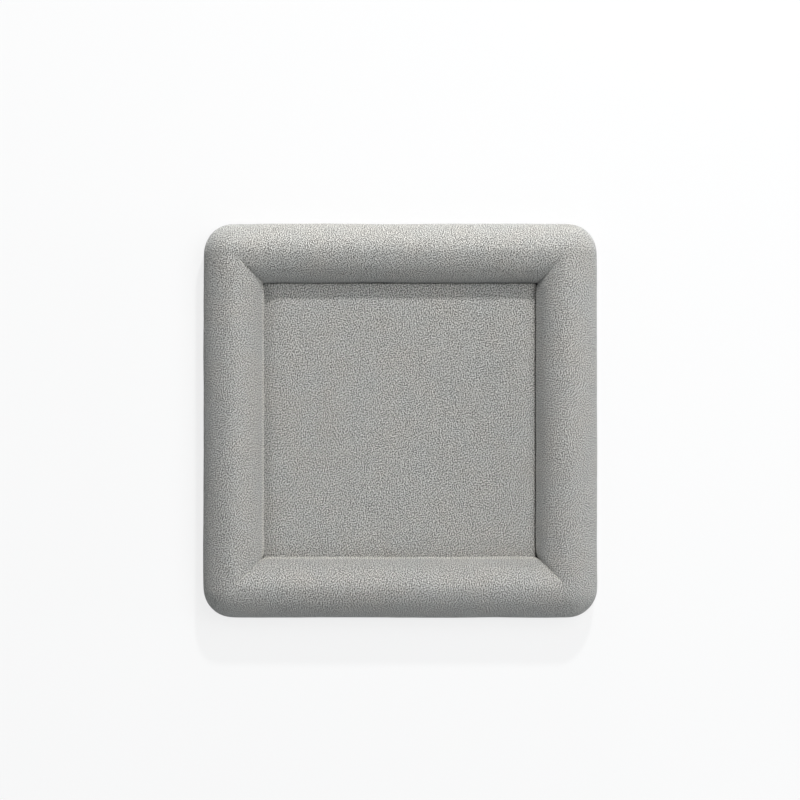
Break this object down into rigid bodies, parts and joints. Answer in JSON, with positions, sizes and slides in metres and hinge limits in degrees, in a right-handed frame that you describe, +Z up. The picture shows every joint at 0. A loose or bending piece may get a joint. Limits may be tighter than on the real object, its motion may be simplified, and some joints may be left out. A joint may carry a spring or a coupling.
{
  "type": "jewelry tray",
  "caption": "Square display tray with a padded rolled rim and a shallow recess, holding a loose flat pad, covered in microfibre, for laying out jewelry.",
  "frame": {"origin": "middle of the underside, at the level of the table that the tray lies on", "axes": "+Z up out of the recess, +Y towards the back side, which is the top side in the picture, +X to the right as the picture shows the face"},
  "size_m": [0.2, 0.2, 0.028],
  "materials": {
    "microfibre": "short napped microfibre suede, matt",
    "lining_felt": "thin pressed felt",
    "foam": "open-cell foam strip and sheet",
    "rail_wood": "planed softwood, bare",
    "fibreboard": "thin fibreboard, bare",
    "greyboard": "solid recycled board",
    "backing_paper": "heavy uncoated paper",
    "nail_steel": "bright steel"
  },
  "bodies": {
    "tray_body": {"base_board": "fibreboard", "rail_back": "rail_wood", "rail_front": "rail_wood", "rail_left": "rail_wood", "rail_right": "rail_wood", "rim_padding_back": "foam", "rim_padding_front": "foam", "rim_padding_left": "foam", "rim_padding_right": "foam", "corner_v_nails": "nail_steel", "base_brads": "nail_steel", "rim_cover": "microfibre", "base_filler_card": "greyboard", "base_lining": "lining_felt"},
    "lift_out_pad": {"pad_board": "greyboard", "pad_foam": "foam", "pad_cover": "microfibre", "pad_backing": "backing_paper"}
  },
  "joints": [
    {"name": "pad_lift", "type": "slide", "parent": "tray_body", "child": "lift_out_pad", "axis": [0, 0, 1], "range_m": [0, 0.04]}
  ]
}
